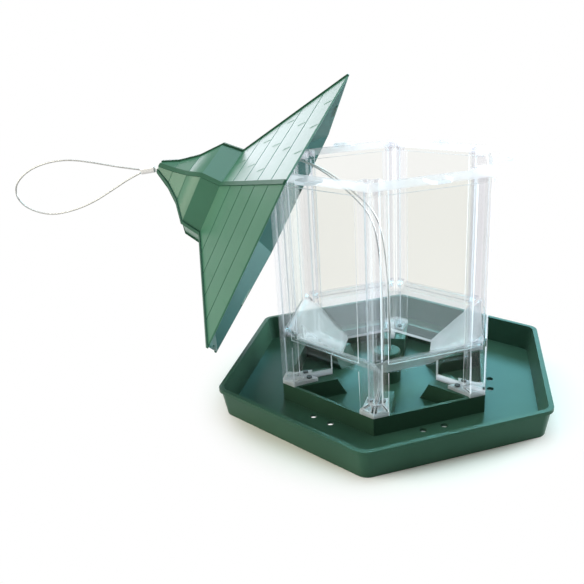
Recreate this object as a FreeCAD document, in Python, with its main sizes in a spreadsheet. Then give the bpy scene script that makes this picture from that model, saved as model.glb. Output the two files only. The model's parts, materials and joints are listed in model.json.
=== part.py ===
import FreeCAD, Part
import math
import os
from FreeCAD import Placement, Rotation, Vector

# Bird feeding house: hexagonal tray, clear hopper of six panels, loose roof on a hanging wire.
# All sizes are in millimetres, +Z is up, the origin is the middle of the tray's underside.

doc = FreeCAD.newDocument("feeder")
sheet = doc.addObject("Spreadsheet::Sheet", "Sizes")

SIZES = [
    # Tray
    ("tray_rim_apothem", 112.6),
    ("tray_base_apothem", 108.5),
    ("tray_height", 20.7),
    ("tray_wall", 2.2),
    ("tray_floor", 2.0),
    ("lip_height", 2.6),
    ("lip_proud", 1.0),
    ("corner_round", 9.0),
    ("ring_height", 15.0),
    ("ring_wall", 2.4),
    ("block_width", 20.0),
    ("block_top_reach", 43.4),
    ("block_foot_reach", 37.0),
    ("block_outer_reach", 74.6),
    ("boss_diameter", 21.0),
    ("boss_height", 26.0),
    ("boss_round", 1.5),
    ("boss_recess", 14.0),
    ("boss_roof", 3.0),
    ("wire_hole", 2.0),
    ("wire_hole_offset", 2.6),
    ("drain_diameter", 4.8),
    ("drain_offset", 7.7),
    ("drain_apothem", 75.8),
    # Hopper panels
    ("hopper_apothem", 70.84),
    ("hopper_top", 169.5),
    ("clear_wall", 1.8),
    ("window_recess", 1.2),
    ("post_depth", 10.5),
    ("post_wall", 1.7),
    ("port_half", 29.5),
    ("seam_clearance", 0.08),
    ("lintel_low", 46.0),
    ("lintel_high", 52.0),
    ("rim_band", 8.0),
    ("rim_proud", 0.7),
    ("tab_length", 13.0),
    ("tab_half", 7.0),
    ("tab_thick", 2.2),
    ("tab_corner", 3.0),
    ("funnel_top", 55.5),
    ("funnel_mouth", 32.0),
    ("funnel_mouth_height", 27.0),
    ("funnel_thick", 2.0),
    ("web_thick", 1.3),
    ("web_reach", 44.0),
    ("web_post", 69.0),
    ("web_foot", 66.0),
    ("foot_thick", 2.5),
    ("foot_apothem", 53.0),
    ("foot_width", 8.0),
    # Screws
    ("screw_reach", 63.0),
    ("screw_side", 4.3),
    ("screw_head", 4.0),
    ("screw_head_height", 1.4),
    ("screw_shank", 2.4),
    ("screw_length", 10.0),
    ("screw_clearance", 0.1),
    # Roof
    ("eave_apothem", 100.5),
    ("eave_edge", 1.0),
    ("eave_wall", 1.4),
    ("band_low_apothem", 33.47),
    ("band_low_height", 44.3),
    ("band_top_apothem", 31.76),
    ("band_top_height", 59.05),
    ("upper_one_apothem", 18.8),
    ("upper_one_height", 71.0),
    ("upper_two_apothem", 9.9),
    ("upper_two_height", 83.2),
    ("tip_apothem", 4.2),
    ("tip_height", 95.1),
    ("roof_wall", 1.9),
    ("roof_drop", 1.0),
    ("tip_thick", 2.4),
    ("tip_hole", 6.2),
    ("course_first", 0.19),
    ("course_pitch", 0.2),
    ("course_step", 0.5),
    ("rib_half", 1.5),
    ("rib_proud", 0.6),
    ("lug_half", 9.0),
    ("lug_depth", 1.8),
    ("lug_height", 1.6),
    ("closed_height", 163.74),
    ("tip_turn", 69.49),
    # Wire
    ("wire_diameter", 1.2),
    ("ferrule_gap", 0.6),
    ("ferrule_length", 11.3),
    ("ferrule_width", 3.4),
    ("ferrule_tall", 5.0),
    ("ferrule_round", 1.6),
]
for row, (name, value) in enumerate(SIZES, start=1):
    sheet.set("A%d" % row, name)
    sheet.set("B%d" % row, str(value))
    sheet.setAlias("B%d" % row, name)
doc.recompute()


def size(name):
    return float(sheet.get(name))


def cell(formula):
    """Writes the sheet's name before every word of a formula that is an alias."""
    out = []
    word = ""
    aliases = {name for name, _ in SIZES}
    for letter in formula + " ":
        if letter.isalnum() or letter == "_":
            word += letter
            continue
        out.append("Sizes." + word if word in aliases else word)
        out.append(letter)
        word = ""
    return "".join(out).strip()


# Sketch helpers

def plane(body, role):
    return next(f for f in body.Origin.OriginFeatures if f.Role == role)


def sketch_on(body, name, role, height=None, turn=None):
    sk = body.newObject("Sketcher::SketchObject", name)
    sk.AttachmentSupport = [(plane(body, role), "")]
    sk.MapMode = "FlatFace"
    if turn is not None:
        sk.AttachmentOffset = Placement(Vector(0, 0, 0), Rotation(Vector(0, 1, 0), turn))
    if height is not None:
        sk.setExpression("AttachmentOffset.Base.z", cell(height))
    return sk


def pin(sk, kind, geo, pos, formula):
    import Sketcher
    index = sk.addConstraint(Sketcher.Constraint(kind, -1, 1, geo, pos, 1.0))
    sk.setExpression("Constraints[%d]" % index, cell(formula))


def polygon(sk, corners):
    """Closed outline whose corners are held by formulas."""
    import Sketcher
    first = sk.GeometryCount
    count = len(corners)
    start = [Vector(40 * math.cos(2 * math.pi * i / count), 40 * math.sin(2 * math.pi * i / count), 0)
             for i in range(count)]
    for i in range(count):
        sk.addGeometry(Part.LineSegment(start[i], start[(i + 1) % count]), False)
    for i in range(count):
        following = first + (i + 1) % count
        sk.addConstraint(Sketcher.Constraint("Coincident", first + i, 2, following, 1))
    for i, (across, up) in enumerate(corners):
        pin(sk, "DistanceX", first + i, 1, across)
        pin(sk, "DistanceY", first + i, 1, up)


def circle(sk, across, up, diameter):
    import Sketcher
    index = sk.GeometryCount
    sk.addGeometry(Part.Circle(Vector(1, 1, 0), Vector(0, 0, 1), 1.0), False)
    hold = sk.addConstraint(Sketcher.Constraint("Diameter", index, 2.0))
    sk.setExpression("Constraints[%d]" % hold, cell(diameter))
    pin(sk, "DistanceX", index, 3, across)
    pin(sk, "DistanceY", index, 3, up)


def hexagon(sk, apothem):
    side = "(%s) / sqrt(3)" % apothem
    top = "2 * (%s) / sqrt(3)" % apothem
    flat = "(%s)" % apothem
    polygon(sk, [(flat, "-" + side), (flat, side), ("0", top),
                 ("-" + flat, side), ("-" + flat, "-" + side), ("0", "-" + top)])


# Feature helpers

def pad(body, sk, name, length, symmetric=False, reverse=False):
    feature = body.newObject("PartDesign::Pad", name)
    feature.Profile = sk
    feature.setExpression("Length", cell(length))
    if symmetric:
        feature.Midplane = True
    feature.Reversed = reverse
    sk.Visibility = False
    doc.recompute()
    return feature


def pocket(body, sk, name, length=None, reverse=False):
    feature = body.newObject("PartDesign::Pocket", name)
    feature.Profile = sk
    if length is None:
        feature.Type = "ThroughAll"
    else:
        feature.setExpression("Length", cell(length))
    feature.Reversed = reverse
    before = body.Shape.Volume
    doc.recompute()
    if abs(before - body.Shape.Volume) < 1e-6:
        raise RuntimeError("pocket removes nothing: " + name)
    return feature


def loft(body, kind, name, sections):
    feature = body.newObject("PartDesign::" + kind, name)
    feature.Profile = sections[0]
    feature.Sections = sections[1:]
    feature.Ruled = True
    doc.recompute()
    return feature


def around(body, feature, name, count=6):
    pattern = body.newObject("PartDesign::PolarPattern", name)
    pattern.Originals = [feature]
    pattern.Axis = (plane(body, "Z_Axis"), [""])
    pattern.Angle = 360
    body.Tip = pattern
    pattern.Occurrences = count
    doc.recompute()
    return pattern


def round_edges(body, feature, name, radius, chosen):
    names = ["Edge%d" % (i + 1) for i, e in enumerate(feature.Shape.Edges) if chosen(e)]
    if not names:
        raise RuntimeError("no edges for " + name)
    fillet = body.newObject("PartDesign::Fillet", name)
    fillet.Base = (feature, names)
    fillet.setExpression("Radius", cell(radius))
    doc.recompute()
    return fillet


def upright_corner(edge):
    """A straight edge that runs upward at one of the hexagon's corners."""
    a, b = edge.Vertexes[0].Point, edge.Vertexes[-1].Point
    run = b.sub(a)
    if run.Length < 0.999 * edge.Length or abs(run.z) < 0.2 * run.Length:
        return False
    middle = (a + b) * 0.5
    angle = math.degrees(math.atan2(middle.y, middle.x)) % 60
    far = middle.x ** 2 + middle.y ** 2 > size("hopper_apothem") ** 2 * 1.5
    return far and abs(angle - 30) < 0.5


# Tray

def make_tray():
    body = doc.addObject("PartDesign::Body", "tray")
    low = sketch_on(body, "tray_base_outline", "XY_Plane")
    hexagon(low, "tray_base_apothem")
    high = sketch_on(body, "tray_rim_outline", "XY_Plane", "tray_height")
    hexagon(high, "tray_rim_apothem - lip_proud")
    loft(body, "AdditiveLoft", "tray_dish", [low, high])
    edge = sketch_on(body, "tray_lip_outline", "XY_Plane", "tray_height - lip_height")
    hexagon(edge, "tray_rim_apothem")
    lip = pad(body, edge, "tray_lip", "lip_height")
    round_edges(body, lip, "tray_outer_corners", "corner_round", upright_corner)
    inner_low = sketch_on(body, "tray_floor_outline", "XY_Plane", "tray_floor")
    hexagon(inner_low, "tray_base_apothem - tray_wall")
    inner_high = sketch_on(body, "tray_mouth_outline", "XY_Plane", "tray_height")
    hexagon(inner_high, "tray_rim_apothem - lip_proud - tray_wall")
    cut = loft(body, "SubtractiveLoft", "tray_inside", [inner_low, inner_high])
    round_edges(body, cut, "tray_inner_corners", "corner_round - tray_wall", upright_corner)

    ring = sketch_on(body, "ring_outline", "XY_Plane", "tray_floor / 2")
    hexagon(ring, "hopper_apothem")
    hexagon(ring, "hopper_apothem - ring_wall")
    pad(body, ring, "ring", "ring_height - tray_floor / 2")

    side = sketch_on(body, "block_side", "YZ_Plane")
    polygon(side, [("block_foot_reach - 2", "tray_floor / 2"), ("block_outer_reach", "tray_floor / 2"),
                   ("block_outer_reach", "ring_height"), ("block_top_reach", "ring_height"),
                   ("block_foot_reach", "tray_floor + 1")])
    block = pad(body, side, "corner_block", "block_width", symmetric=True)
    around(body, block, "corner_blocks")

    post = sketch_on(body, "boss_outline", "XY_Plane", "tray_floor / 2")
    circle(post, "0", "0", "boss_diameter")
    boss = pad(body, post, "boss", "boss_height - tray_floor / 2")

    def boss_top(edge):
        return isinstance(edge.Curve, Part.Circle) and abs(edge.Curve.Center.z - size("boss_height")) < 0.01
    round_edges(body, boss, "boss_crown", "boss_round", boss_top)
    hollow = sketch_on(body, "boss_hollow_outline", "XY_Plane")
    circle(hollow, "0", "0", "boss_recess")
    pocket(body, hollow, "boss_hollow", "boss_height - boss_roof", reverse=True)
    holes = sketch_on(body, "wire_hole_outline", "XY_Plane", "boss_height")
    circle(holes, "wire_hole_offset", "0", "wire_hole")
    circle(holes, "-wire_hole_offset", "0", "wire_hole")
    pocket(body, holes, "wire_holes", "2 * boss_roof")

    drain = sketch_on(body, "drain_outline", "XY_Plane")
    circle(drain, "drain_apothem", "drain_offset", "drain_diameter")
    circle(drain, "drain_apothem", "-drain_offset", "drain_diameter")
    around(body, pocket(body, drain, "drain_pair", "2 * tray_floor", reverse=True), "drains")

    pilot = sketch_on(body, "pilot_outline", "XY_Plane", "ring_height")
    circle(pilot, "screw_side", "screw_reach", "screw_shank + screw_clearance")
    circle(pilot, "-screw_side", "screw_reach", "screw_shank + screw_clearance")
    around(body, pocket(body, pilot, "pilot_pair", "screw_length"), "pilots")
    body.Label = "tray"
    return body


# Clear hopper panel: X points out of the wall, Y runs along it

MITRE = "(%s) / sqrt(3) - seam_clearance"


def mitre(across):
    return MITRE % across


def wall_strip(sk, inner, outer, half):
    polygon(sk, [(inner, "-(%s)" % half), (outer, "-(%s)" % half), (outer, half), (inner, half)])


def make_panel(number):
    tag = "panel_%d_" % number
    body = doc.addObject("PartDesign::Body", "hopper_panel_%d" % number)
    inner = "hopper_apothem - window_recess - clear_wall"
    outer = "hopper_apothem"

    window = sketch_on(body, tag + "window_outline", "XY_Plane", "lintel_low")
    wall_strip(window, inner, "hopper_apothem - window_recess", "port_half + 0.4")
    pad(body, window, tag + "window", "hopper_top - lintel_low")
    lintel = sketch_on(body, tag + "lintel_outline", "XY_Plane", "lintel_low")
    wall_strip(lintel, inner, outer, "port_half + 0.4")
    pad(body, lintel, tag + "lintel", "lintel_high - lintel_low")

    posts = sketch_on(body, tag + "post_outline", "XY_Plane", "ring_height")
    back = "hopper_apothem - post_depth"
    for sign in ("", "-"):
        polygon(posts, [(outer, sign + "port_half"), (outer, sign + "(" + mitre(outer) + ")"),
                        (back, sign + "(" + mitre(back) + ")"), (back, sign + "port_half")])
        front = "hopper_apothem - post_wall"
        rear = "hopper_apothem - post_depth + post_wall"
        corner = sign + "(%s - 1.2 * post_wall)"
        polygon(posts, [(front, sign + "(port_half + post_wall)"), (front, corner % mitre(front)),
                        (rear, corner % mitre(rear)), (rear, sign + "(port_half + post_wall)")])
    pad(body, posts, tag + "posts", "hopper_top - ring_height")

    feet = sketch_on(body, tag + "foot_outline", "XY_Plane", "ring_height")
    reach = "hopper_apothem - 0.5"
    for sign in ("", "-"):
        polygon(feet, [(reach, sign + "(" + mitre(reach) + ")"), (reach, sign + "(port_half + 1)"),
                       ("foot_apothem", sign + "(" + mitre("foot_apothem") + " - foot_width)"),
                       ("foot_apothem", sign + "(" + mitre("foot_apothem") + ")")])
    pad(body, feet, tag + "feet", "foot_thick")

    band = sketch_on(body, tag + "rim_outline", "XY_Plane", "hopper_top - rim_band")
    inside = "hopper_apothem - window_recess - 0.6"
    proud = "hopper_apothem + rim_proud"
    polygon(band, [(inside, "-(" + mitre(inside) + ")"), (proud, "-(" + mitre(proud) + ")"),
                   (proud, mitre(proud)), (inside, mitre(inside))])
    pad(body, band, tag + "rim", "rim_band")
    tab = sketch_on(body, tag + "tab_outline", "XY_Plane", "hopper_top - tab_thick")
    tip = "hopper_apothem + rim_proud + tab_length"
    polygon(tab, [("hopper_apothem", "-tab_half"), (tip + " - tab_corner", "-tab_half"),
                  (tip, "-(tab_half - tab_corner)"), (tip, "tab_half - tab_corner"),
                  (tip + " - tab_corner", "tab_half"), ("hopper_apothem", "tab_half")])
    pad(body, tab, tag + "tab", "tab_thick")

    chute = sketch_on(body, tag + "funnel_side", "XZ_Plane")
    polygon(chute, [(inner + " + 0.8", "funnel_top"), ("funnel_mouth", "funnel_mouth_height"),
                    ("funnel_mouth", "funnel_mouth_height - funnel_thick"),
                    (inner + " + 0.8", "funnel_top - funnel_thick")])
    pad(body, chute, tag + "funnel", "2 * hopper_apothem", symmetric=True)

    slope = "((funnel_top - funnel_mouth_height) / (%s + 0.8 - funnel_mouth))" % inner
    height = "(funnel_mouth_height - funnel_thick / 2 + " + slope + " * (%s * sqrt(3) / 2 - funnel_mouth))"
    for turn, word in ((30, "left"), (-30, "right")):
        web = sketch_on(body, tag + word + "_web_side", "XZ_Plane", turn=turn)
        polygon(web, [("web_reach", "ring_height"), ("web_foot", "ring_height"),
                      ("web_post", height % "web_post"), ("web_reach", height % "web_reach")])
        pad(body, web, tag + word + "_web", "web_thick", reverse=turn < 0)

    trim = sketch_on(body, tag + "mitre_trim", "XY_Plane")
    far = "2 * hopper_apothem"
    for sign in ("", "-"):
        polygon(trim, [("funnel_mouth / 4", sign + "(" + mitre("funnel_mouth / 4") + ")"),
                       (far, sign + "(" + mitre(far) + ")"), ("funnel_mouth / 4", sign + "(" + far + ")")])
    pocket(body, trim, tag + "mitres", reverse=True)

    drill = sketch_on(body, tag + "screw_outline", "XY_Plane", "ring_height + foot_thick")
    across = "screw_reach * sqrt(3) / 2 + screw_side / 2"
    along = "(screw_reach / 2 - screw_side * sqrt(3) / 2)"
    for sign in ("", "-"):
        circle(drill, across, sign + along, "screw_shank + 2 * screw_clearance")
    pocket(body, drill, tag + "screw_holes", "foot_thick")
    body.Label = "hopper_panel_%d" % number
    body.Placement = Placement(Vector(0, 0, 0), Rotation(Vector(0, 0, 1), 60 * number - 120))
    return body


# Screws: two at each corner foot

def make_screws():
    group = []
    for corner in range(6):
        for sign in (-1, 1):
            tag = "screw_%d_%s" % (corner + 1, "a" if sign < 0 else "b")
            angle = math.radians(30 + 60 * corner)
            head = doc.addObject("Part::Cylinder", tag + "_head")
            head.setExpression("Radius", cell("screw_head / 2"))
            head.setExpression("Height", cell("screw_head_height"))
            shank = doc.addObject("Part::Cylinder", tag + "_shank")
            shank.setExpression("Radius", cell("screw_shank / 2"))
            shank.setExpression("Height", cell("screw_length"))
            seat = "ring_height + foot_thick"
            for solid, level in ((head, seat), (shank, seat + " + screw_head_height / 2 - screw_length")):
                east = "screw_reach * %.9f + screw_side * %.9f"
                solid.setExpression("Placement.Base.x", cell(east % (math.cos(angle), -sign * math.sin(angle))))
                solid.setExpression("Placement.Base.y", cell(east % (math.sin(angle), sign * math.cos(angle))))
                solid.setExpression("Placement.Base.z", cell(level))
            joined = doc.addObject("Part::MultiFuse", tag)
            joined.Shapes = [head, shank]
            group.append(joined)
    screws = doc.addObject("Part::Compound", "panel_screws")
    screws.Links = group
    screws.Label = "panel_screws"
    doc.recompute()
    return screws


# Roof: drawn closed over the hopper, then turned back to where it hangs

HINGE_AXIS = Vector(0.21304, 0.87029, -0.44408)
HINGE_POINT = Vector(3.206, 30.939, 62.17)


def make_roof():
    body = doc.addObject("PartDesign::Body", "roof_shell")
    levels = [("eave_apothem", "eave_edge"), ("band_low_apothem", "band_low_height"),
              ("band_top_apothem", "band_top_height"), ("upper_one_apothem", "upper_one_height"),
              ("upper_two_apothem", "upper_two_height"), ("tip_apothem", "tip_height")]
    edge = sketch_on(body, "eave_outline", "XY_Plane")
    hexagon(edge, "eave_apothem")
    pad(body, edge, "eave", "eave_edge")
    outside = []
    for number, (wide, high) in enumerate(levels):
        sk = sketch_on(body, "roof_outline_%d" % number, "XY_Plane", high)
        hexagon(sk, wide)
        outside.append(sk)
    loft(body, "AdditiveLoft", "roof_outside", outside)
    inside = []
    hollow = [("eave_apothem - eave_wall", "0")]
    hollow += [(wide + " - roof_wall", high + " - roof_drop") for wide, high in levels[1:-1]]
    hollow += [("tip_apothem - roof_wall", "tip_height - tip_thick")]
    for number, (wide, high) in enumerate(hollow):
        sk = sketch_on(body, "roof_hollow_%d" % number, "XY_Plane", high)
        hexagon(sk, wide)
        inside.append(sk)
    loft(body, "SubtractiveLoft", "roof_inside", inside)

    down = ["(course_first + %d * course_pitch)" % number for number in range(4)]
    courses = [("band_low_apothem + %s * (eave_apothem - band_low_apothem)" % part,
                "band_low_height - %s * (band_low_height - eave_edge)" % part) for part in down]
    courses += levels[3:5]
    for number, (wide, high) in enumerate(courses):
        lap = sketch_on(body, "course_outline_%d" % number, "XY_Plane", high)
        hexagon(lap, wide)
        hexagon(lap, wide + " + 3 * course_step")
        pocket(body, lap, "course_%d" % number, "course_step")

    rib = sketch_on(body, "rib_side", "YZ_Plane")
    grow = "2 / sqrt(3) * "
    chain = [(grow + "eave_apothem + rib_proud / 2", "0"),
             (grow + "eave_apothem + rib_proud / 2", "eave_edge + 0.9 * rib_proud")]
    chain += [(grow + "band_low_apothem + rib_proud", "band_low_height + 0.6 * rib_proud"),
              (grow + "band_top_apothem + rib_proud", "band_top_height + 0.3 * rib_proud"),
              (grow + "upper_one_apothem + 0.7 * rib_proud", "upper_one_height + 0.7 * rib_proud"),
              (grow + "upper_two_apothem + 0.7 * rib_proud", "upper_two_height + 0.6 * rib_proud"),
              (grow + "tip_apothem + 0.4 * rib_proud", "tip_height + 0.4 * rib_proud"),
              (grow + "tip_apothem - rib_proud", "tip_height + 0.4 * rib_proud"),
              (grow + "tip_apothem - rib_proud", "tip_height - rib_proud")]
    chain += [(grow + wide + " - 0.8 * rib_proud", high + " - 0.8 * rib_proud")
              for wide, high in reversed(levels[1:-1])]
    chain += [(grow + "eave_apothem - rib_proud", "0.4 * eave_edge"),
              (grow + "eave_apothem - rib_proud", "0")]
    polygon(rib, chain)
    hip = pad(body, rib, "hip_rib", "2 * rib_half", symmetric=True)
    around(body, hip, "hip_ribs")

    lug = sketch_on(body, "lug_outline", "XY_Plane")
    wall_strip(lug, "eave_apothem - eave_wall - lug_depth", "eave_apothem - eave_wall", "lug_half")
    around(body, pad(body, lug, "eave_lug", "lug_height"), "eave_lugs")
    tip = sketch_on(body, "tip_hole_outline", "XY_Plane", "tip_height + 4")
    circle(tip, "0", "0", "tip_hole")
    pocket(body, tip, "tip_opening", "8 + tip_thick")
    body.Label = "roof_shell"
    closed = Placement(Vector(0, 0, size("closed_height")), Rotation())
    back = Placement(Vector(0, 0, 0), Rotation(HINGE_AXIS, -size("tip_turn")), HINGE_POINT)
    body.Placement = back.multiply(closed)
    return body


# Wire: straight runs joined by tangent arcs

LOWER_LEFT = [(-2.9, -1.0, 79.5), (-2.65, -0.5, 52.0), (-2.6, 0.0, 22.0)]
LOWER_RIGHT = [(2.6, 0.0, 22.0), (2.5, -0.6, 52.0), (1.8, -1.6, 79.5)]
UPPER_LEFT = [(-2.9, -1.0, 79.5), (-3.9, -1.6, 107.0), (-9.5, -2.4, 131.0), (-23.5, -3.0, 146.5),
              (-41.5, -3.6, 162.5), (-60.0, -4.2, 171.8), (-84.0, -4.9, 173.4), (-112.0, -5.5, 171.4),
              (-138.0, -6.0, 169.0), (-156.0, -6.3, 167.4), (-165.0, -6.4, 166.5)]
UPPER_RIGHT = [(1.8, -1.6, 79.5), (0.4, -2.4, 108.0), (-5.6, -3.4, 132.5), (-20.5, -4.4, 147.5),
               (-38.5, -5.1, 162.6), (-58.0, -5.7, 171.4), (-83.0, -6.4, 172.6), (-111.0, -7.0, 170.7),
               (-137.0, -7.4, 168.6), (-156.0, -7.6, 167.0), (-165.0, -7.7, 166.1)]
LOOP = [(-177.2, 165.9), (-193.7, 168.0), (-210.9, 171.2), (-234.0, 174.6), (-253.9, 172.4), (-269.9, 167.0),
        (-281.4, 158.6), (-285.2, 151.2), (-284.2, 143.9), (-276.7, 136.5), (-259.4, 131.8), (-241.9, 134.2),
        (-221.2, 140.8), (-199.9, 152.2), (-187.4, 159.2), (-177.2, 163.6)]


def make_cable(name, points):
    points = [Vector(*p) for p in points]
    radius = size("wire_diameter") / 2
    parts = []
    radii = []
    start = points[0]
    for before, here, after in zip(points, points[1:], points[2:]):
        into = here.sub(before)
        out = after.sub(here)
        turn = into.getAngle(out)
        cut = 0.45 * min(into.Length, out.Length)
        radii.append(cut / math.tan(turn / 2))
        into.normalize()
        out.normalize()
        first = here.sub(into * cut)
        last = here + out * cut
        toward = (out.sub(into)).normalize()
        centre_way = radii[-1] * (1 / math.cos(turn / 2) - 1)
        bend = here + toward * centre_way
        parts.append(Part.LineSegment(start, first))
        parts.append(Part.Arc(first, bend, last))
        start = last
    parts.append(Part.LineSegment(start, points[-1]))
    route = Part.Wire([p.toShape() for p in parts])
    heading = points[1].sub(points[0])
    ring = Part.Wire([Part.Circle(points[0], heading, radius).toShape()])
    shell = Part.BRepOffsetAPI.MakePipeShell(route)
    shell.setFrenetMode(False)
    shell.add(ring)
    shell.build()
    shell.makeSolid()
    solid = shell.shape()
    if isinstance(solid, Part.Shell):
        solid = Part.Solid(solid)
    expected = math.pi * radius ** 2 * route.Length
    print(name, "length", round(route.Length, 1), "smallest radius", round(min(radii), 1),
          "volume ratio", round(solid.Volume / expected, 4))
    cable = doc.addObject("Part::Feature", name)
    cable.Shape = solid
    cable.Label = name
    return cable


def make_ferrule():
    body = doc.addObject("PartDesign::Body", "cable_ferrule")
    outline = sketch_on(body, "ferrule_outline", "YZ_Plane")
    half_wide = "ferrule_width / 2"
    half_tall = "ferrule_tall / 2"
    polygon(outline, [("-" + half_wide, "-" + half_tall), (half_wide, "-" + half_tall),
                      (half_wide, half_tall), ("-" + half_wide, half_tall)])
    sleeve = pad(body, outline, "ferrule_sleeve", "ferrule_length", reverse=True)

    def long_edge(edge):
        return abs(edge.BoundBox.XLength - size("ferrule_length")) < 0.01
    round_edges(body, sleeve, "ferrule_rounding", "ferrule_round", long_edge)
    body.Label = "cable_ferrule"
    ends = Vector(*[(a + b) / 2 for a, b in zip(UPPER_LEFT[-1], UPPER_RIGHT[-1])])
    far = Vector(LOOP[0][0], ends.y, (LOOP[0][1] + LOOP[-1][1]) / 2)
    way = far.sub(ends).normalize()
    near = ends + way * size("ferrule_gap")
    body.Placement = Placement(near, Rotation(Vector(-1, 0, 0), way))
    return body


nodes = [make_tray()]
nodes += [make_panel(number) for number in range(1, 7)]
nodes.append(make_screws())
nodes.append(make_roof())
nodes.append(make_ferrule())
LOOP_Y = (UPPER_LEFT[-1][1] + UPPER_RIGHT[-1][1]) / 2
nodes.append(make_cable("hanging_loop", [(x, LOOP_Y, z) for x, z in LOOP]))
nodes.append(make_cable("cable_upper_left", UPPER_LEFT))
nodes.append(make_cable("cable_upper_right", UPPER_RIGHT))
BEND = [(-2.6, 0.0, 20.2), (2.6, 0.0, 20.2)]
nodes.append(make_cable("cable_lower", LOWER_LEFT[:2] + [(-2.6, 0.0, 30.0)] + BEND +
                        [(2.6, 0.0, 30.0)] + LOWER_RIGHT[1:]))

# Everything is checked before it is written
doc.recompute()
for thing in doc.Objects:
    if "Invalid" in thing.State or "Error" in thing.State:
        raise RuntimeError("object in error: " + thing.Name)
os.makedirs("parts", exist_ok=True)
for node in nodes:
    if node.Shape.isNull() or not node.Shape.isValid():
        raise RuntimeError("bad shape: " + node.Label)
    node.Shape.exportStep("parts/%s.step" % node.Label)
    box = node.Shape.BoundBox
    print("%-18s solids %d volume %.1f box %.1f..%.1f %.1f..%.1f %.1f..%.1f" % (
        node.Label, len(node.Shape.Solids), node.Shape.Volume,
        box.XMin, box.XMax, box.YMin, box.YMax, box.ZMin, box.ZMax))
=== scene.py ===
import json
import math

import bmesh
import bpy
import numpy as np
from mathutils import Matrix, Vector

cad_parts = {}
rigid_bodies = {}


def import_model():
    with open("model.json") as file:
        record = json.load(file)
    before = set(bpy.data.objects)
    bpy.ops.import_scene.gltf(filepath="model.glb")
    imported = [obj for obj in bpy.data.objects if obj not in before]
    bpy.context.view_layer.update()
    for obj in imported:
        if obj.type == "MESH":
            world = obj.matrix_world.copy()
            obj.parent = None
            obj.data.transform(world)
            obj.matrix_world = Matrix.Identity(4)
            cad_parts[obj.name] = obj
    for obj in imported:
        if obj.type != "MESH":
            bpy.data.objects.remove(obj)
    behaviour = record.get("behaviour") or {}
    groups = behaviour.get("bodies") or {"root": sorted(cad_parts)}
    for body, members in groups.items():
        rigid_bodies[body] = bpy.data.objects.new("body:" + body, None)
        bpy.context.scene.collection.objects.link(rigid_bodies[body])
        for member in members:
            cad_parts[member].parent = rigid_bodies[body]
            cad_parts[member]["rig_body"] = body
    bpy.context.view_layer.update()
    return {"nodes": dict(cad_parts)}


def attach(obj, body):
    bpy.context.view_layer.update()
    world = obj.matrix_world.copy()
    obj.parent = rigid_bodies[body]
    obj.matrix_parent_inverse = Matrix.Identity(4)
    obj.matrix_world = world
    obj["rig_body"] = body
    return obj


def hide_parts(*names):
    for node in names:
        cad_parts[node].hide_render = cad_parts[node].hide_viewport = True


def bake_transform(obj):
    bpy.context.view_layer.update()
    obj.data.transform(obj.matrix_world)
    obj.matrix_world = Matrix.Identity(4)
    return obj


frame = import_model()
nodes = frame["nodes"]
PANELS = ["hopper_panel_%d" % k for k in range(1, 7)]


# Materials

DARK_AT, LIGHT_AT = 0.3, 0.7
GREEN_ROUGHNESS_SPREAD = 0.03
METAL_SMOOTHER, METAL_ROUGHER = 0.08, 0.1
CLEAR_ROUGHNESS = (0.04, 0.12)
CLEAR_MIRRORED = (1.0, 0.86, 0.96)
CLEAR_CLOUD = 0.992


def new_material(name):
    mat = bpy.data.materials.new(name)
    mat.use_nodes = True
    tree = mat.node_tree
    return mat, tree, tree.nodes["Principled BSDF"]


def add(tree, kind, **values):
    """A new node with the values set on its sockets, or on the node where no socket has the name."""
    node = tree.nodes.new(kind)
    for key, value in values.items():
        if key in node.inputs:
            node.inputs[key].default_value = value
        else:
            setattr(node, key, value)
    return node


def noise(tree, scale, detail):
    where = add(tree, "ShaderNodeTexCoord")
    tex = add(tree, "ShaderNodeTexNoise", Scale=scale, Detail=detail, Roughness=0.55)
    tree.links.new(where.outputs["Object"], tex.inputs["Vector"])
    return tex.outputs["Fac"]


def two_tone(tree, source, dark, light):
    """A colour that runs between the two tones as the source rises."""
    node = tree.nodes.new("ShaderNodeValToRGB")
    for point, place, colour in zip(node.color_ramp.elements, (DARK_AT, LIGHT_AT), (dark, light)):
        point.position = place
        point.color = (*colour, 1.0)
    tree.links.new(source, node.inputs["Fac"])
    return node.outputs["Color"]


def spread(tree, source, low, high):
    node = add(tree, "ShaderNodeMapRange")
    node.inputs["To Min"].default_value = low
    node.inputs["To Max"].default_value = high
    tree.links.new(source, node.inputs["Value"])
    return node.outputs["Result"]


def bump(tree, bsdf, source, strength, distance):
    node = add(tree, "ShaderNodeBump", Strength=strength, Distance=distance)
    tree.links.new(source, node.inputs["Height"])
    tree.links.new(node.outputs["Normal"], bsdf.inputs["Normal"])


def moulded_green(name, dark, light, rough, shine, mirrored=(1.0, 1.0, 1.0)):
    """Moulded plastic with a cloudy colour, a fine grain and mirrored light of the tint given."""
    mat, tree, bsdf = new_material(name)
    cloud = noise(tree, scale=14.0, detail=4.0)
    tree.links.new(two_tone(tree, cloud, dark, light), bsdf.inputs["Base Color"])
    grain = noise(tree, scale=420.0, detail=2.0)
    level = spread(tree, grain, rough - GREEN_ROUGHNESS_SPREAD, rough + GREEN_ROUGHNESS_SPREAD)
    tree.links.new(level, bsdf.inputs["Roughness"])
    bump(tree, bsdf, grain, strength=0.03, distance=0.0002)
    bsdf.inputs["IOR"].default_value = 1.5
    bsdf.inputs["Specular IOR Level"].default_value = shine
    bsdf.inputs["Specular Tint"].default_value = (*mirrored, 1.0)
    return mat


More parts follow.
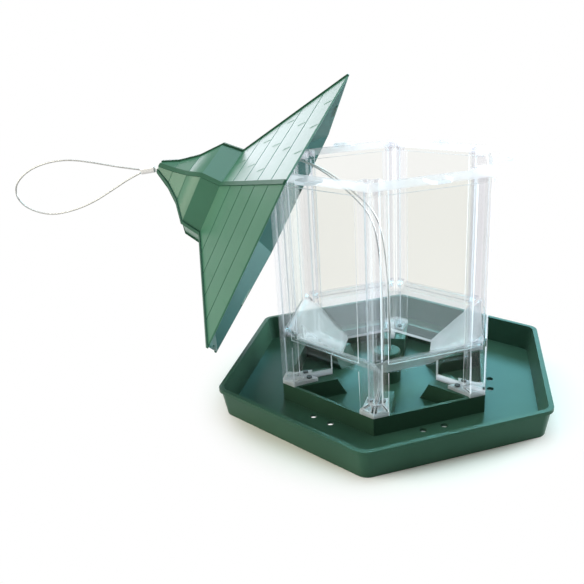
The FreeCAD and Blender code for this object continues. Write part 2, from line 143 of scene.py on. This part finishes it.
def clear_plastic(name, tint, body, share, mirror, steepness=4.0, gather=0.0):
    """Thin clear plastic: what lies behind shows through, and a surface seen at a glance mirrors more.

    An edge also gathers light from behind it, by the share given as gather."""
    mat, tree, bsdf = new_material(name)
    cloud = noise(tree, scale=11.0, detail=3.0)
    through = add(tree, "ShaderNodeBsdfTransparent")
    colour = two_tone(tree, cloud, [CLEAR_CLOUD * c for c in tint], tint)
    tree.links.new(colour, through.inputs["Color"])
    bsdf.inputs["Base Color"].default_value = (*body, 1.0)
    bsdf.inputs["IOR"].default_value = 1.49
    bsdf.inputs["Specular IOR Level"].default_value = 1.0
    bsdf.inputs["Specular Tint"].default_value = (*CLEAR_MIRRORED, 1.0)
    haze = noise(tree, scale=300.0, detail=3.0)
    tree.links.new(spread(tree, haze, *CLEAR_ROUGHNESS), bsdf.inputs["Roughness"])
    wave = noise(tree, scale=60.0, detail=2.0)
    bump(tree, bsdf, wave, strength=0.10, distance=0.0004)
    glance = add(tree, "ShaderNodeLayerWeight", Blend=0.5)
    steep = add(tree, "ShaderNodeMath", operation="POWER")
    steep.inputs[1].default_value = steepness
    tree.links.new(glance.outputs["Facing"], steep.inputs[0])
    level = add(tree, "ShaderNodeMath", operation="MULTIPLY_ADD", use_clamp=True)
    level.inputs[1].default_value = mirror
    level.inputs[2].default_value = share
    tree.links.new(steep.outputs[0], level.inputs[0])
    mix = add(tree, "ShaderNodeMixShader")
    tree.links.new(level.outputs[0], mix.inputs["Fac"])
    tree.links.new(through.outputs["BSDF"], mix.inputs[1])
    solid = bsdf.outputs["BSDF"]
    if gather:
        lit = add(tree, "ShaderNodeBsdfTranslucent", Color=(*body, 1.0))
        both = add(tree, "ShaderNodeMixShader", Fac=gather)
        tree.links.new(solid, both.inputs[1])
        tree.links.new(lit.outputs["BSDF"], both.inputs[2])
        solid = both.outputs["Shader"]
    tree.links.new(solid, mix.inputs[2])
    tree.links.new(mix.outputs["Shader"], tree.nodes["Material Output"].inputs["Surface"])
    return mat


def metal(name, dark, light, rough, scale):
    """Drawn or cast metal with a fine grain in its colour, gloss and surface."""
    mat, tree, bsdf = new_material(name)
    grain = noise(tree, scale, detail=3.0)
    tree.links.new(two_tone(tree, grain, dark, light), bsdf.inputs["Base Color"])
    bsdf.inputs["Metallic"].default_value = 1.0
    level = spread(tree, grain, rough - METAL_SMOOTHER, rough + METAL_ROUGHER)
    tree.links.new(level, bsdf.inputs["Roughness"])
    bump(tree, bsdf, grain, strength=0.15, distance=0.0001)
    return mat


TRAY_GREEN = moulded_green("tray_green", dark=(0.030, 0.072, 0.046), light=(0.039, 0.093, 0.060),
                           rough=0.32, shine=0.12, mirrored=(0.30, 0.92, 1.0))
ROOF_GREEN = moulded_green("roof_green", dark=(0.029, 0.118, 0.069), light=(0.037, 0.142, 0.084),
                           rough=0.36, shine=0.36)
# The inside of the roof is the same plastic as the outside; its cooler teal tone is painted light, standing
# in for the cool light the inside catches.
ROOF_INSIDE_PAINTED_TEAL = moulded_green("roof_inside", dark=(0.023, 0.098, 0.088), light=(0.031, 0.122, 0.110),
                            rough=0.55, shine=0.30)
# The ribs are the roof's own green painted darker: painted shade along the ribs.
ROOF_RIB_PAINTED_SHADE = moulded_green("roof_rib_painted_shade", dark=(0.018, 0.072, 0.042), light=(0.024, 0.088, 0.052),
                         rough=0.45, shine=0.15)
WHITE = (0.93, 0.94, 0.97)
WARM_WHITE = (1.0, 0.955, 0.97)
WINDOW = clear_plastic("clear_window", tint=(0.965, 0.966, 0.951), body=WHITE, share=0.006, mirror=0.4)
FUNNEL = clear_plastic("clear_funnel", tint=(0.98, 0.98, 0.985), body=WHITE, share=0.17, mirror=0.70,
                       steepness=2.8)
RIM = clear_plastic("clear_rim", tint=(0.998, 0.998, 1.0), body=WARM_WHITE, share=0.34, mirror=0.35,
                    gather=0.6)
POST = clear_plastic("clear_post", tint=(0.992, 0.991, 0.993), body=WHITE, share=0.012, mirror=0.5)
FOOT = clear_plastic("clear_foot", tint=(0.96, 0.96, 0.97), body=WHITE, share=0.55, mirror=0.5, gather=0.4)
SEAM = clear_plastic("clear_seam", tint=(0.900, 0.897, 0.925), body=WHITE, share=0.05, mirror=0.5)
EDGE = clear_plastic("clear_edge", tint=(0.93, 0.93, 0.955), body=WHITE, share=0.62, mirror=0.6, gather=0.6)
CLEARS = [WINDOW, FUNNEL, RIM, POST, FOOT, SEAM, EDGE]
WIRE = metal("wire_steel", dark=(0.26, 0.26, 0.25), light=(0.44, 0.44, 0.425), rough=0.42, scale=900.0)
# The stretches inside the hopper are the loop's steel painted paler, as painted light.
WIRE_PAINTED_PALER = metal("wire_steel_painted_paler", dark=(0.52, 0.52, 0.51), light=(0.70, 0.70, 0.685),
                    rough=0.42, scale=900.0)
SLEEVE = metal("sleeve_aluminium", dark=(0.55, 0.54, 0.525), light=(0.70, 0.69, 0.67),
               rough=0.42, scale=700.0)
SCREW = metal("screw_steel", dark=(0.06, 0.065, 0.07), light=(0.12, 0.125, 0.13), rough=0.38, scale=800.0)


# Surfaces of the CAD nodes. Lengths are in metres and angles in degrees.

SAME_POINT = 1e-6
FLAT_ANGLE, SHARP_ANGLE = 0.6, 30.0
SMOOTH_ANGLE, SMOOTH_ALL = 28.0, 180.0


def show(name, mesh, mats, body, smooth):
    for mat in mats[len(mesh.materials):]:
        mesh.materials.append(mat)
    obj = bpy.data.objects.new(name, mesh)
    bpy.context.scene.collection.objects.link(obj)
    mesh.polygons.foreach_set("use_smooth", [True] * len(mesh.polygons))
    mesh.set_sharp_from_angle(angle=math.radians(smooth))
    if body:
        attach(obj, body)
    return obj


def plain_surface(node):
    """The CAD node's surface with each flat stretch joined into one face."""
    bm = bmesh.new()
    bm.from_mesh(nodes[node].data)
    bmesh.ops.remove_doubles(bm, verts=bm.verts, dist=SAME_POINT)
    bmesh.ops.dissolve_limit(bm, angle_limit=math.radians(FLAT_ANGLE), verts=bm.verts, edges=bm.edges)
    return bm


def stand_in(node, mesh, mats):
    """Show the mesh in the place of the CAD node."""
    obj = show(node + "_soft", mesh, mats, nodes[node]["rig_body"], SMOOTH_ANGLE)
    even = obj.modifiers.new("even", "WEIGHTED_NORMAL")
    even.keep_sharp = True
    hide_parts(node)


def joined(mesh, extra):
    """The two meshes as one closed surface."""
    first = bpy.data.objects.new("first", mesh)
    second = bpy.data.objects.new("second", extra)
    for obj in (first, second):
        bpy.context.scene.collection.objects.link(obj)
    join = first.modifiers.new("join", "BOOLEAN")
    join.object = second
    join.operation = "UNION"
    join.solver = "EXACT"
    result = bpy.data.meshes.new_from_object(first.evaluated_get(bpy.context.evaluated_depsgraph_get()))
    for obj in (first, second):
        bpy.data.objects.remove(obj)
    return result


def softened(node, mats, width, segments, chosen=None, extra=None, kind=None):
    """The CAD node's own surface with its moulded edges rounded off and the extra forms joined to it."""
    bm = plain_surface(node)
    sharp = [e for e in bm.edges
             if len(e.link_faces) == 2 and e.calc_face_angle(0) > math.radians(SHARP_ANGLE)]
    if chosen:
        sharp = [e for e in sharp if chosen(e)]
    bmesh.ops.bevel(bm, geom=sharp, offset=width, offset_type="OFFSET", segments=segments, profile=0.5,
                    affect="EDGES", clamp_overlap=True)
    mesh = bpy.data.meshes.new(node + "_soft")
    bm.to_mesh(mesh)
    bm.free()
    if extra:
        mesh = joined(mesh, extra)
    if kind:
        mesh.polygons.foreach_set("material_index", [kind(face) for face in mesh.polygons])
    stand_in(node, mesh, mats)


# Clear panels

EDGE_WIDTH = 0.0026         # narrower faces are edges
POST_WIDTH = 0.013          # tall faces narrower than this belong to a post
TALL = 0.060
RIM_FROM = 0.1645           # height where the rim band starts
FEET_UP_TO = 0.0185         # height where the feet end
HEIGHT_SLACK = 1e-5
PORT_HALF = 0.0295          # half the width of a port and of the window above it
PORT_SLACK = 0.0012
GLINT_WIDTH = 0.0008        # width of the broken corners beside ports and windows
GLINT_SHORTEST = 0.02
UPRIGHT_SHARE = 0.99        # share of an upright edge's length that is rise
RIGHT_ANGLE_FROM, RIGHT_ANGLE_TO = 1.3, 1.8     # radians
UPRIGHT_TILT, SLOPE_TILT, LEVEL_TILT = 0.1, 0.4, 0.95   # upward share of a face's normal


def along_wall(bm):
    """The level direction that runs along a panel's wall."""
    middle = sum((v.co for v in bm.verts), Vector()) / len(bm.verts)
    return Vector((-middle.y, middle.x, 0)).normalized()


def clear_kind(face, along):
    """Which of the clear materials a face of a panel shows, by its place and shape."""
    width = 2 * face.calc_area() / sum(e.calc_length() for e in face.edges)
    heights = [v.co.z for v in face.verts]
    tall = max(heights) - min(heights) > TALL
    in_post = abs(face.calc_center_median().dot(along)) > PORT_HALF + PORT_SLACK
    square = not UPRIGHT_TILT < abs(face.normal.z) < LEVEL_TILT
    if width < EDGE_WIDTH and max(heights) > FEET_UP_TO + HEIGHT_SLACK:
        return SEAM if tall or in_post and square else EDGE
    if min(heights) > RIM_FROM - HEIGHT_SLACK:
        return RIM
    if max(heights) < FEET_UP_TO + HEIGHT_SLACK:
        return FOOT
    if tall and width < POST_WIDTH:
        return POST
    return FUNNEL if SLOPE_TILT < abs(face.normal.z) < LEVEL_TILT else WINDOW


def upright_corner(edge, along):
    """A corner at the side of a window or of a port, which the mould leaves slightly broken."""
    if abs(abs(edge.verts[0].co.dot(along)) - PORT_HALF) > PORT_SLACK:
        return False
    rise = abs(edge.verts[0].co.z - edge.verts[1].co.z)
    if len(edge.link_faces) != 2 or not edge.is_convex:
        return False
    if rise < GLINT_SHORTEST or rise < UPRIGHT_SHARE * edge.calc_length():
        return False
    return RIGHT_ANGLE_FROM < edge.calc_face_angle(0) < RIGHT_ANGLE_TO


def clear_panel(node):
    """A clear panel: its narrow faces and broken corners gather the light and look pale."""
    bm = plain_surface(node)
    for height in (RIM_FROM, FEET_UP_TO):
        bmesh.ops.bisect_plane(bm, geom=bm.verts[:] + bm.edges[:] + bm.faces[:], plane_co=(0, 0, height),
                               plane_no=(0, 0, 1))
    along = along_wall(bm)
    corners = [e for e in bm.edges if upright_corner(e, along)]
    glints = bmesh.ops.bevel(bm, geom=corners, offset=GLINT_WIDTH, offset_type="OFFSET", segments=1,
                             profile=0.5, affect="EDGES", clamp_overlap=False)["faces"]
    for face in bm.faces:
        face.material_index = CLEARS.index(clear_kind(face, along))
    for face in glints:
        face.material_index = CLEARS.index(EDGE)
    mesh = bpy.data.meshes.new(node + "_soft")
    bm.to_mesh(mesh)
    bm.free()
    stand_in(node, mesh, CLEARS)


# Roof: where it was drawn closed, and the marks between its shingles

HINGE_POINT = Vector((0.003206, 0.030939, 0.06217))
HINGE_AXIS = Vector((0.21304, 0.87029, -0.44408))
TIP_TURN = math.radians(69.49)
CLOSED_HEIGHT = 0.16374
ROOF_PLACE = (Matrix.Translation(HINGE_POINT) @ Matrix.Rotation(-TIP_TURN, 4, HINGE_AXIS)
              @ Matrix.Translation(-HINGE_POINT) @ Matrix.Translation((0, 0, CLOSED_HEIGHT)))
ROOF_BACK = ROOF_PLACE.inverted()

# Half the width across flats and the height, on the closed roof
EAVE = (0.1005, 0.0010)
BAND_LOW = (0.03347, 0.0443)
COURSES = (0.19, 0.39, 0.59, 0.79, 1.0)     # share of the way from the band to the eave
TICK_PITCH, TICK_LENGTH, TICK_WIDTH, TICK_RISE = 0.027, 0.0065, 0.0006, 0.00020
TICK_SINK = 0.0003          # how deep a mark is rooted in the shell
TICK_FROM_LINE, TICK_FROM_RIB = 0.0010, 0.007
RIB_HALF = 0.0019
INSIDE_TILT = -0.2
STEP_RISE, EAVE_ZONE, TIP_FROM = 0.0004, 0.002, 0.09


def shingle_marks():
    """Short low ridges up the slope from every course line, staggered from course to course."""
    bm = bmesh.new()
    run, fall = EAVE[0] - BAND_LOW[0], BAND_LOW[1] - EAVE[1]
    for facet in range(6):
        turn = Matrix.Rotation(math.radians(60 * facet), 3, "Z")
        down = (turn @ Vector((run, 0, -fall))).normalized()
        out = (turn @ Vector((fall, 0, run))).normalized()
        along = turn @ Vector((0, 1, 0))
        for row, part in enumerate(COURSES):
            wide = BAND_LOW[0] + part * run
            half = wide / math.sqrt(3) - TICK_FROM_RIB - TICK_LENGTH / 2
            shift = (row % 2) / 2
            start = turn @ Vector((wide, 0, BAND_LOW[1] - part * fall)) - TICK_FROM_LINE * down
            place = (shift - math.floor(half / TICK_PITCH + shift)) * TICK_PITCH
            while place <= half:
                corners = []
                for up in (0, TICK_LENGTH):
                    for side, high in ((-TICK_WIDTH / 2, -TICK_SINK), (TICK_WIDTH / 2, -TICK_SINK),
                                       (0, TICK_RISE)):
                        spot = start + along * (place + side) - down * up + out * high
                        corners.append(bm.verts.new(ROOF_PLACE @ spot))
                bmesh.ops.convex_hull(bm, input=corners)
                place += TICK_PITCH
    mesh = bpy.data.meshes.new("shingle_marks")
    bm.to_mesh(mesh)
    bm.free()
    return mesh


def roof_kind(face):
    """Zero for the outer skin, one for what faces down into the closed roof, which gets a teal tone of
    painted light, and two for the ribs, which get a darker tone of painted shade.
    """
    if (ROOF_BACK.to_3x3() @ face.normal).z < INSIDE_TILT:
        return 1
    spot = ROOF_BACK @ face.center
    hip = math.radians(30 + 60 * math.floor(math.degrees(math.atan2(spot.y, spot.x)) / 60))
    return 2 if abs(spot.y * math.cos(hip) - spot.x * math.sin(hip)) < RIB_HALF else 0


def roof_outer_edge(edge):
    """Ribs, eave and tip are rounded; the narrow steps between courses stay crisp."""
    if not edge.is_convex:
        return False
    low, high = sorted((ROOF_BACK @ v.co).z for v in edge.verts)
    return high - low > STEP_RISE or low < EAVE[1] + EAVE_ZONE or low > TIP_FROM


softened("tray", [TRAY_GREEN], width=0.0006, segments=4)
softened("roof_shell", [ROOF_GREEN, ROOF_INSIDE_PAINTED_TEAL, ROOF_RIB_PAINTED_SHADE], width=0.0005, segments=4,
         chosen=roof_outer_edge, extra=shingle_marks(), kind=roof_kind)
for panel in PANELS:
    clear_panel(panel)
softened("panel_screws", [SCREW], width=0.0004, segments=3)


# Wire: the routes of the CAD tubes, in metres

LOWER = [(-0.0029, -0.0010, 0.0795), (-0.00265, -0.0005, 0.0520), (-0.0026, 0.0, 0.0300),
         (-0.0026, 0.0, 0.0202), (0.0026, 0.0, 0.0202), (0.0026, 0.0, 0.0300), (0.0025, -0.0006, 0.0520),
         (0.0018, -0.0016, 0.0795)]
UPPER_LEFT = [(-0.0029, -0.0010, 0.0795), (-0.0039, -0.0016, 0.1070), (-0.0095, -0.0024, 0.1310),
              (-0.0235, -0.0030, 0.1465), (-0.0415, -0.0036, 0.1625), (-0.0600, -0.0042, 0.1718),
              (-0.0840, -0.0049, 0.1734), (-0.1120, -0.0055, 0.1714), (-0.1380, -0.0060, 0.1690),
              (-0.1560, -0.0063, 0.1674), (-0.1650, -0.0064, 0.1665)]
UPPER_RIGHT = [(0.0018, -0.0016, 0.0795), (0.0004, -0.0024, 0.1080), (-0.0056, -0.0034, 0.1325),
               (-0.0205, -0.0044, 0.1475), (-0.0385, -0.0051, 0.1626), (-0.0580, -0.0057, 0.1714),
               (-0.0830, -0.0064, 0.1726), (-0.1110, -0.0070, 0.1707), (-0.1370, -0.0074, 0.1686),
               (-0.1560, -0.0076, 0.1670), (-0.1650, -0.0077, 0.1661)]
LOOP_Y = (UPPER_LEFT[-1][1] + UPPER_RIGHT[-1][1]) / 2
LOOP = [(x, LOOP_Y, z) for x, z in [
    (-0.1772, 0.1659), (-0.1937, 0.1680), (-0.2109, 0.1712), (-0.2340, 0.1746), (-0.2539, 0.1724),
    (-0.2699, 0.1670), (-0.2814, 0.1586), (-0.2852, 0.1512), (-0.2842, 0.1439), (-0.2767, 0.1365),
    (-0.2594, 0.1318), (-0.2419, 0.1342), (-0.2212, 0.1408), (-0.1999, 0.1522), (-0.1874, 0.1592),
    (-0.1772, 0.1636)]]
WIRE_DIAMETER = 0.0012
STRANDS, POINTS_PER_STRAND = 6, 4
STRAND_LAY = 0.0090         # length of one full turn of the strands
GROOVE = 0.05               # depth of the grooves as a share of the radius
NEARLY_PARALLEL = 0.1


def smooth_line(points):
    """Points along the smooth curve whose control points are the route's."""
    data = bpy.data.curves.new("route", "CURVE")
    data.dimensions = "3D"
    data.resolution_u = 40
    spline = data.splines.new("NURBS")
    spline.points.add(len(points) - 1)
    for point, place in zip(spline.points, points):
        point.co = (*place, 1.0)
    spline.order_u = 3
    spline.use_endpoint_u = True
    holder = bpy.data.objects.new("route", data)
    bpy.context.scene.collection.objects.link(holder)
    bpy.context.view_layer.update()
    mesh = bpy.data.meshes.new_from_object(holder)
    line = np.array([v.co for v in mesh.vertices], float).reshape(-1, 3)
    bpy.data.objects.remove(holder)
    bpy.data.curves.remove(data)
    bpy.data.meshes.remove(mesh)
    return line


def stranded(name, centre, mat):
    """A laid wire rope: a tube whose section has one lobe for each outer strand and turns along the line."""
    radius = WIRE_DIAMETER / 2
    steps = np.concatenate([[0], np.cumsum(np.linalg.norm(np.diff(centre, axis=0), axis=1))])
    tangent = np.gradient(centre, axis=0)
    tangent /= np.linalg.norm(tangent, axis=1)[:, None]
    side = np.cross(tangent[0], (0.0, 1.0, 0.0))
    if np.linalg.norm(side) < NEARLY_PARALLEL:
        side = np.cross(tangent[0], (1.0, 0.0, 0.0))
    around = STRANDS * POINTS_PER_STRAND
    bm = bmesh.new()
    rings = []
    for i in range(len(centre)):
        side = side - tangent[i] * (side @ tangent[i])
        side /= np.linalg.norm(side)
        up = np.cross(tangent[i], side)
        ring = []
        for k in range(around):
            angle = 2 * math.pi * k / around
            lobe = abs(math.sin(STRANDS * angle / 2))
            reach = radius * (1 - GROOVE + GROOVE * math.sqrt(lobe))
            turned = angle + 2 * math.pi * steps[i] / STRAND_LAY
            ring.append(bm.verts.new(centre[i] + reach * (math.cos(turned) * side + math.sin(turned) * up)))
        rings.append(ring)
    for a, b in zip(rings, rings[1:]):
        for k in range(around):
            bm.faces.new((a[k], a[(k + 1) % around], b[(k + 1) % around], b[k]))
    bm.faces.new(reversed(rings[0]))
    bm.faces.new(rings[-1])
    mesh = bpy.data.meshes.new(name)
    bm.to_mesh(mesh)
    bm.free()
    return show(name, mesh, [mat], None, SMOOTH_ALL)


def wire_piece(name, points, cad, body=None, mat=WIRE_PAINTED_PALER):
    """One stretch of the wire, in the place of its CAD tube."""
    centre = smooth_line(points)
    obj = stranded(name, centre, mat)
    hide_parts(cad)
    if body:
        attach(obj, body)
    return obj


wire_piece("wire_loop", LOOP, "hanging_loop", body="hanger", mat=WIRE)
wire_piece("wire_lower", LOWER, "cable_lower", body="base")
for word, points in (("left", UPPER_LEFT), ("right", UPPER_RIGHT)):
    strand = wire_piece("wire_upper_" + word, points, "cable_upper_" + word)
    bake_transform(strand)
softened("cable_ferrule", [SLEEVE], width=0.0007, segments=3)


# Floor, light and camera

FLOOR_REACH, FLOOR_DROP = 6.0, 0.0003
FLOOR_COLOUR = (0.88, 0.86, 0.82)
WHITE_FROM, WHITE_BY = 0.110, 0.150         # distance from the middle where the floor turns plain white
PAINTED_LIGHT_SPOT = (-0.036, -0.0635, 0.0)         # painted light: a spot under the tray that glows white where the tray shades the floor, seen through the drain holes
PAINTED_LIGHT_EDGE, PAINTED_LIGHT_CORE = 0.017, 0.012
ROOM_COLOUR, ROOM_STRENGTH = (1.0, 0.99, 0.92), 0.33
SENSOR_WIDTH, FOCAL_PIXELS, FRAME_PIXELS = 36.0, 684.81, 584
CAMERA_PLACE = (0.05213, -0.46721, 0.25237)
CAMERA_RIGHT = (0.97103, 0.23112, -0.06079)
CAMERA_UP = (-0.02650, 0.35691, 0.93377)
CAMERA_BACK = (0.23751, -0.90510, 0.35269)
BOUNCES, CLEAR_LAYERS = 24, 32


def seen_rays(tree):
    """One for the rays that show the room: from the camera, passed on and mirrored."""
    path = add(tree, "ShaderNodeLightPath")
    level = path.outputs["Is Camera Ray"]
    for kind in ("Is Transmission Ray", "Is Glossy Ray"):
        most = add(tree, "ShaderNodeMath", operation="MAXIMUM")
        tree.links.new(level, most.inputs[0])
        tree.links.new(path.outputs[kind], most.inputs[1])
        level = most.outputs[0]
    return level


def stage_floor():
    """White table: real near the object, where its shadow falls, and plain white further off; under the tray
    a spot of painted light glows white where the tray shades the floor, to be seen through the drain holes.
    """
    mesh = bpy.data.meshes.new("floor")
    corners = [(FLOOR_REACH * x, FLOOR_REACH * y, 0) for x, y in ((-1, -1), (1, -1), (1, 1), (-1, 1))]
    mesh.from_pydata(corners, [], [(0, 1, 2, 3)])
    mat, tree, bsdf = new_material("floor_white")
    bsdf.inputs["Base Color"].default_value = (*FLOOR_COLOUR, 1.0)
    bsdf.inputs["Roughness"].default_value = 0.9
    bsdf.inputs["Specular IOR Level"].default_value = 0.0
    where = add(tree, "ShaderNodeTexCoord")
    far = add(tree, "ShaderNodeVectorMath", operation="LENGTH")
    tree.links.new(where.outputs["Object"], far.inputs[0])
    # distance from the spot of painted light under the tray, which glows white where the tray shades the
    # floor
    near = add(tree, "ShaderNodeVectorMath", operation="DISTANCE")
    near.inputs[1].default_value = PAINTED_LIGHT_SPOT
    tree.links.new(where.outputs["Object"], near.inputs[0])
    white = add(tree, "ShaderNodeMath", operation="MAXIMUM")
    for socket, source, start, end in ((0, far, WHITE_FROM, WHITE_BY), (1, near, PAINTED_LIGHT_EDGE, PAINTED_LIGHT_CORE)):
        fade = add(tree, "ShaderNodeMapRange", interpolation_type="SMOOTHSTEP")
        fade.inputs["From Min"].default_value = start
        fade.inputs["From Max"].default_value = end
        tree.links.new(source.outputs["Value"], fade.inputs["Value"])
        tree.links.new(fade.outputs["Result"], white.inputs[socket])
    level = add(tree, "ShaderNodeMath", operation="MULTIPLY")
    tree.links.new(white.outputs[0], level.inputs[0])
    tree.links.new(seen_rays(tree), level.inputs[1])
    glow = add(tree, "ShaderNodeEmission", Strength=1.0)
    mix = add(tree, "ShaderNodeMixShader")
    tree.links.new(level.outputs[0], mix.inputs["Fac"])
    tree.links.new(bsdf.outputs["BSDF"], mix.inputs[1])
    tree.links.new(glow.outputs["Emission"], mix.inputs[2])
    tree.links.new(mix.outputs["Shader"], tree.nodes["Material Output"].inputs["Surface"])
    mesh.materials.append(mat)
    obj = bpy.data.objects.new("floor", mesh)
    obj.location.z = -FLOOR_DROP
    bpy.context.scene.collection.objects.link(obj)


def white_room():
    """Soft light from all round, and a plain white room for the rays that show it."""
    world = bpy.data.worlds.new("room")
    bpy.context.scene.world = world
    world.use_nodes = True
    tree = world.node_tree
    lit = tree.nodes["Background"]
    lit.inputs["Color"].default_value = (*ROOM_COLOUR, 1.0)
    lit.inputs["Strength"].default_value = ROOM_STRENGTH
    seen = add(tree, "ShaderNodeBackground", Strength=1.0)
    seen.inputs["Color"].default_value = (1.0, 1.0, 1.0, 1.0)
    mix = add(tree, "ShaderNodeMixShader")
    tree.links.new(seen_rays(tree), mix.inputs["Fac"])
    tree.links.new(lit.outputs["Background"], mix.inputs[1])
    tree.links.new(seen.outputs["Background"], mix.inputs[2])
    tree.links.new(mix.outputs["Shader"], tree.nodes["World Output"].inputs["Surface"])


def softbox(name, place, target, size, power, colour):
    data = bpy.data.lights.new(name, "AREA")
    data.shape = "RECTANGLE"
    data.size, data.size_y = size
    data.energy = power
    data.color = colour
    obj = bpy.data.objects.new(name, data)
    obj.location = place
    obj.rotation_euler = (Vector(target) - Vector(place)).to_track_quat("-Z", "Y").to_euler()
    bpy.context.scene.collection.objects.link(obj)


stage_floor()
white_room()
softbox("left", place=(-1.42, -0.65, 0.70), target=(-0.05, 0, 0.12), size=(1.2, 1.0), power=23,
        colour=(1.0, 0.97, 0.80))
softbox("top", place=(0.1, 0.25, 1.6), target=(0, 0, 0.1), size=(1.3, 1.3), power=20,
        colour=(0.62, 0.92, 1.0))
softbox("back_left", place=(-1.05, 1.20, 0.65), target=(-0.05, 0, 0.15), size=(0.9, 0.9), power=12.5,
        colour=(0.90, 0.86, 1.0))
softbox("back", place=(0.0, 1.40, 0.80), target=(0, 0, 0.05), size=(0.7, 0.45), power=10,
        colour=(0.28, 0.86, 1.0))
softbox("right_back", place=(1.21, 0.89, 0.30), target=(-0.10, 0, 0.15), size=(0.8, 0.6), power=38,
        colour=(0.80, 0.93, 1.0))

camera = bpy.data.cameras.new("camera")
camera.sensor_width = SENSOR_WIDTH
camera.lens = SENSOR_WIDTH * FOCAL_PIXELS / FRAME_PIXELS
viewer = bpy.data.objects.new("camera", camera)
turned = Matrix((CAMERA_RIGHT, CAMERA_UP, CAMERA_BACK)).transposed().to_4x4()
viewer.matrix_world = Matrix.Translation(CAMERA_PLACE) @ turned
scene = bpy.context.scene
scene.collection.objects.link(viewer)
scene.camera = viewer
scene.view_settings.view_transform = "Standard"
scene.cycles.max_bounces = BOUNCES
scene.cycles.transmission_bounces = BOUNCES
scene.cycles.transparent_max_bounces = CLEAR_LAYERS
